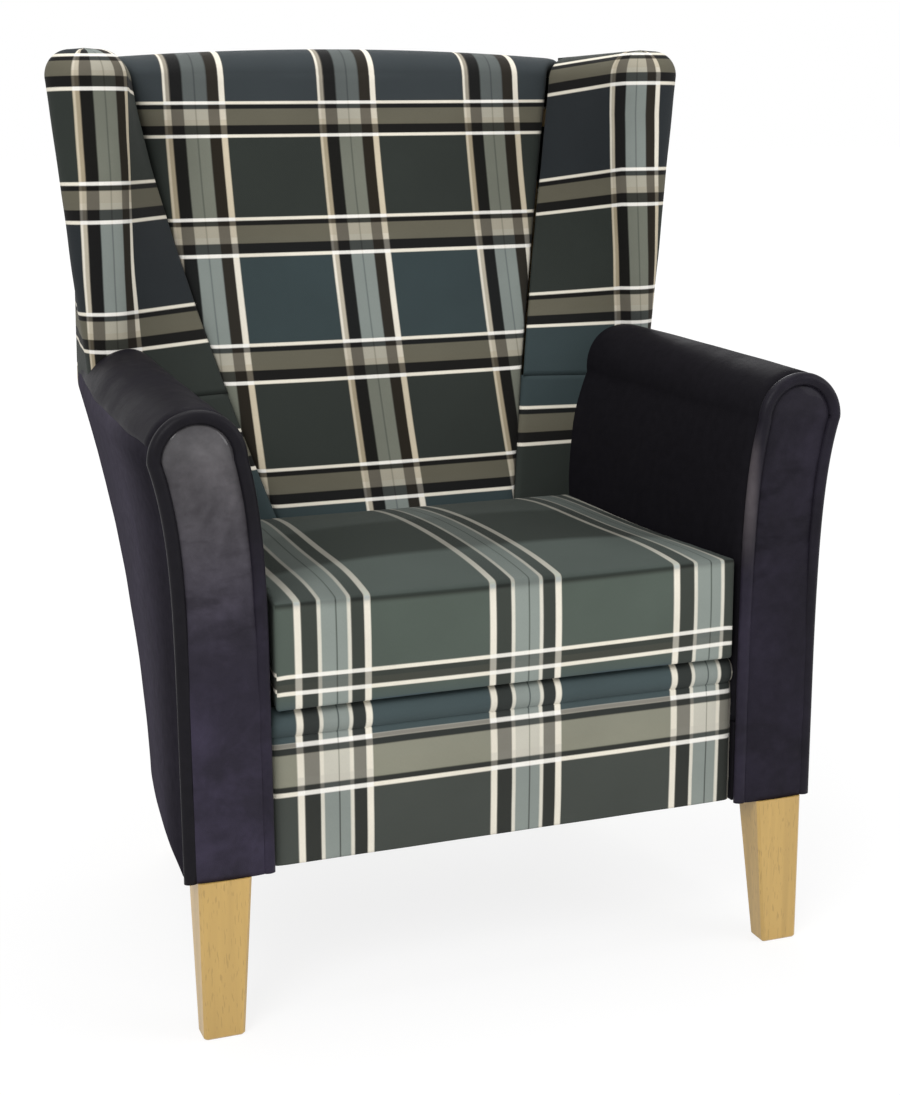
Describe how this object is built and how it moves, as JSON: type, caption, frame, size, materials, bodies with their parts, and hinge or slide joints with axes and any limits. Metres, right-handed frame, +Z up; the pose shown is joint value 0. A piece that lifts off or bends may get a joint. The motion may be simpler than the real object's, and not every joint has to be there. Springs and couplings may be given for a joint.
{
  "type": "wing armchair",
  "caption": "Upholstered fireside wing chair with raked back, rounded arms, loose seat cushion, sprung seat and tapered wooden legs.",
  "frame": {"origin": "on the floor under the middle of the chair's bounding box", "axes": "+X to the right seen from the front, the chair faces -Y, +Z up"},
  "size_m": [0.7706, 0.63, 0.991],
  "materials": {
    "plaid_fabric": "woven tartan plaid in slate blue, charcoal and taupe with cream lines",
    "plain_fabric": "plain dark woven fabric",
    "dark_leather": "soft dark aubergine leather-look cover with a low sheen",
    "foam": "upholstery foam",
    "beech_legs": "satin lacquered light beech",
    "frame_beech": "plain sawn beech",
    "steel": "zinc plated steel",
    "hessian": "jute webbing and hessian",
    "dust_cloth": "black non-woven cloth"
  },
  "bodies": {
    "chair": {"front_border_cover": "plaid_fabric", "border_foam": "foam", "front_rail": "frame_beech", "rear_rail": "frame_beech", "side_rail_left": "frame_beech", "side_rail_right": "frame_beech", "leg_blocks": "frame_beech", "front_leg_left": "beech_legs", "front_leg_right": "beech_legs", "rear_leg_left": "beech_legs", "rear_leg_right": "beech_legs", "leg_bolts": "steel", "tee_nuts": "steel", "seat_springs": "steel", "spring_clips": "steel", "spring_cover": "hessian", "seat_platform": "foam", "dust_cover": "dust_cloth", "arm_post_left": "frame_beech", "arm_post_right": "frame_beech", "arm_rail_left": "frame_beech", "arm_rail_right": "frame_beech", "back_upright_left": "frame_beech", "back_upright_right": "frame_beech", "back_top_rail": "frame_beech", "back_lower_rail": "frame_beech", "back_webbing": "hessian", "wing_post_left": "frame_beech", "wing_post_right": "frame_beech", "wing_rail_left": "frame_beech", "wing_rail_right": "frame_beech", "arm_foam_left": "foam", "arm_foam_right": "foam", "arm_cover_left": "dark_leather", "arm_cover_right": "dark_leather", "outside_arm_left": "dark_leather", "outside_arm_right": "dark_leather", "arm_facing_left": "dark_leather", "arm_facing_right": "dark_leather", "facing_roll_left": "dark_leather", "facing_roll_right": "dark_leather", "back_foam": "foam", "inside_back_cover": "plaid_fabric", "outside_back": "plaid_fabric", "wing_foam_left": "foam", "wing_foam_right": "foam", "wing_cover_left": "plaid_fabric", "wing_cover_right": "plaid_fabric", "wing_tuck_left": "plaid_fabric", "wing_tuck_right": "plaid_fabric"},
    "seat_cushion": {"cushion_foam": "foam", "cushion_top_panel": "plaid_fabric", "cushion_base_panel": "plain_fabric", "cushion_border": "plaid_fabric", "cushion_zip_border": "plain_fabric"}
  },
  "joints": [
    {"name": "cushion_lift", "type": "slide", "parent": "chair", "child": "seat_cushion", "axis": [0, 0, 1], "range_m": [0, 0.7]}
  ]
}
